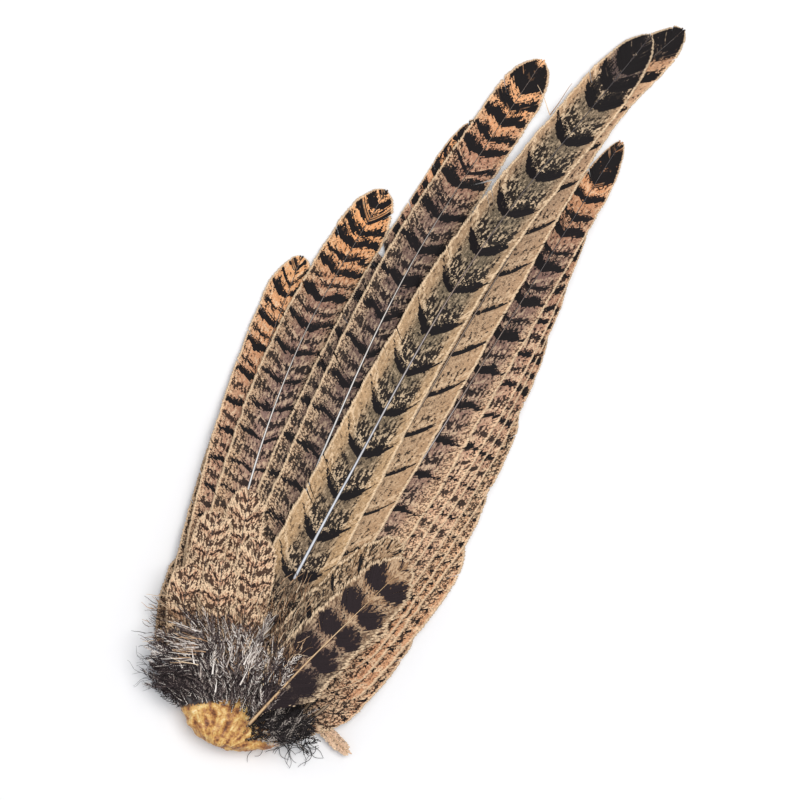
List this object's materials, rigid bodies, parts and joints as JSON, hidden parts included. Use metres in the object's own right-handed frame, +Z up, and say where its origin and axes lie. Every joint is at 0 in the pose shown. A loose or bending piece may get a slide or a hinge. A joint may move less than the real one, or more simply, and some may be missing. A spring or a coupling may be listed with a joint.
{
  "type": "hen pheasant tail",
  "caption": "Whole tail of a hen pheasant, cut off with its dried stub and lying flat: a long pointed fan of barred feathers with coverts and down over their bases",
  "frame": {"origin": "on the flat underside of the dried stub, in the plane that the whole tail rests on", "axes": "+Y runs from the stub along the tail to the tips of the central feathers, +Z is up, out of the upper side of the tail, and +X is to the right seen from above with the tips pointing away"},
  "size_m": [0.1096, 0.2872, 0.0211],
  "materials": {
    "tail_feather": "barred and vermiculated buff, brown and black vanes with a low satin sheen",
    "covert": "finely vermiculated brown and black vanes with cream scalloped edges",
    "down": "matte dark grey-brown down with a few pale strands",
    "dried_stub": "dried yellow skin and fat, uneven, slightly waxy",
    "buff_feather": "plain pale buff loose barbs"
  },
  "bodies": {
    "root": {"tail_stub": "dried_stub", "tail_feather_centre_top": "tail_feather", "tail_feather_centre_under": "tail_feather", "tail_feather_left_1": "tail_feather", "tail_feather_left_2": "tail_feather", "tail_feather_left_3": "tail_feather", "tail_feather_left_4": "tail_feather", "tail_feather_left_5": "tail_feather", "tail_feather_left_6": "tail_feather", "tail_feather_left_7": "tail_feather", "tail_feather_left_8": "tail_feather", "tail_feather_right_1": "tail_feather", "tail_feather_right_2": "tail_feather", "tail_feather_right_3": "tail_feather", "tail_feather_right_4": "tail_feather", "tail_feather_right_5": "tail_feather", "tail_feather_right_6": "tail_feather", "tail_feather_right_7": "tail_feather", "tail_feather_right_8": "tail_feather", "undertail_covert_left": "covert", "undertail_covert_right": "covert", "covert_left_1": "covert", "covert_left_2": "covert", "covert_left_3": "covert", "covert_middle_1": "covert", "covert_middle_2": "covert", "covert_middle_3": "covert", "covert_right_1": "covert", "covert_pale_shaft": "covert", "covert_blotched": "covert", "down_back": "down", "down_tuft": "down", "loose_buff_feather": "buff_feather"}
  },
  "joints": []
}
